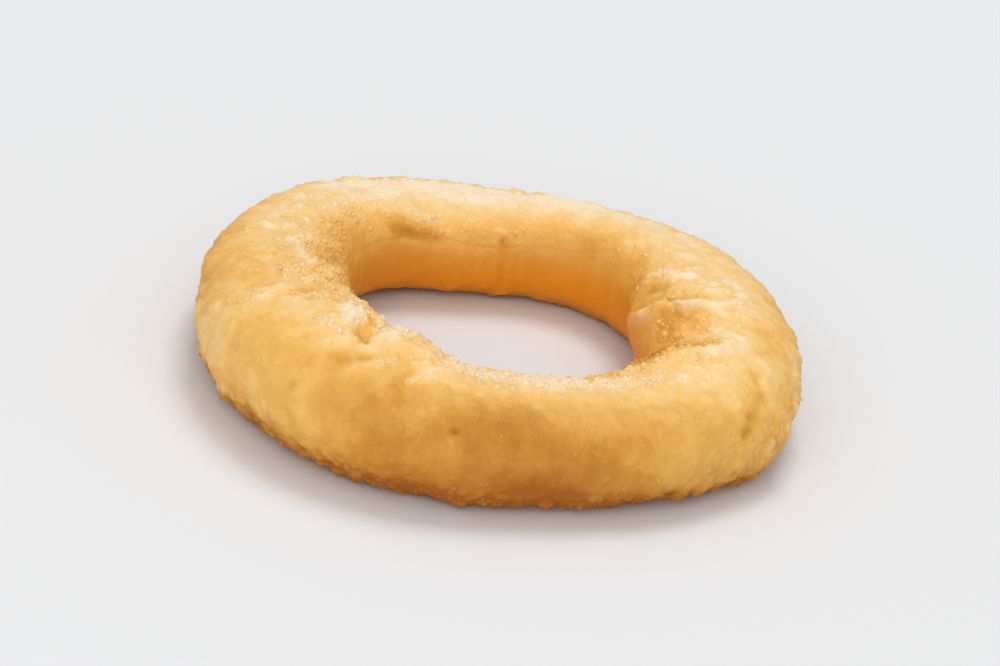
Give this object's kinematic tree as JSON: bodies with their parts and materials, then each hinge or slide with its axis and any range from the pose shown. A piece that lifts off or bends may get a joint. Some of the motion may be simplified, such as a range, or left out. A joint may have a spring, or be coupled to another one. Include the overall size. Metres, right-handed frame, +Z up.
{
  "type": "battered onion ring",
  "caption": "Battered and fried onion ring with a rounded section, an open middle and a folded, crumbly crust, lying flat.",
  "frame": {"origin": "on the surface the ring lies on, under the middle of the ring's box", "axes": "+Z up through the hole; +X along the ring's widest way, to the right of the front; +Y to the back"},
  "size_m": [0.071, 0.068, 0.0157],
  "materials": {
    "batter": "crisp golden fried batter, satin from the frying oil, granular"
  },
  "bodies": {
    "root": {"onion_ring": "batter"}
  },
  "joints": []
}
